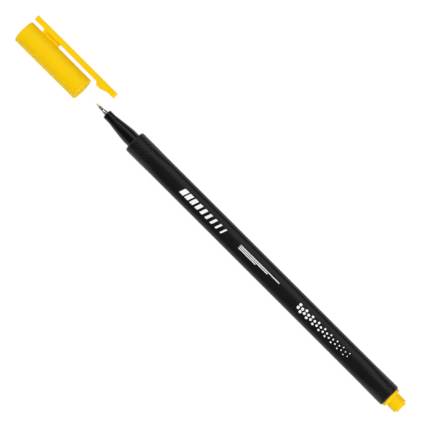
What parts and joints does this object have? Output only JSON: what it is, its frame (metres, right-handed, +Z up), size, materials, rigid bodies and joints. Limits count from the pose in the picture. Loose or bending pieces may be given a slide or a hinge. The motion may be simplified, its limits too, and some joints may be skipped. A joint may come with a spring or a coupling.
{
  "type": "fineliner pen",
  "caption": "Slim fibre-tipped writing pen with a soft triangular barrel, a curved nose, a rear post and a pull-off cap with a pocket clip.",
  "frame": {"origin": "the writing point, on the pen's axis", "axes": "+X along the pen's axis from the writing point to the rear end; +Z up, with the clip towards +Y and a little up; the open cap lies along -X"},
  "size_m": [0.1876, 0.0123, 0.009],
  "materials": {
    "barrel_plastic": "satin black moulding with low round dots at both ends",
    "nose_plastic": "polished black moulding",
    "ferrule_steel": "bright turned stainless steel",
    "inked_fibre": "yellow-inked bonded fibre",
    "wick_fibre": "yellow-inked soft fibre",
    "reservoir_fibre": "yellow-inked soft fibre",
    "reservoir_film": "thin white wrapping film",
    "plug_plastic": "satin-gloss yellow moulding",
    "cap_plastic": "satin-gloss yellow moulding",
    "seal_plastic": "soft pale yellow moulding"
  },
  "bodies": {
    "barrel": {"barrel": "barrel_plastic", "nose_section": "nose_plastic", "nib_ferrule": "ferrule_steel", "nib_fibre": "inked_fibre", "feed_wick": "wick_fibre", "ink_reservoir": "reservoir_fibre", "reservoir_film": "reservoir_film", "rear_plug": "plug_plastic"},
    "cap": {"cap_shell": "cap_plastic", "cap_inner_seal": "seal_plastic"},
    "clip": {"clip_arm": "cap_plastic"}
  },
  "joints": [
    {"name": "cap_slide", "type": "slide", "parent": "barrel", "child": "cap", "axis": [1, 0, 0], "range_m": [0, 0.02585]},
    {"name": "clip_flex", "type": "hinge", "parent": "cap", "child": "clip", "pos_m": [-0.02398, 0.00755, 0.0016], "axis": [0, -0.2079, 0.9781], "range_deg": [0, 4], "stiffness_Nm_per_rad": 0.5}
  ]
}
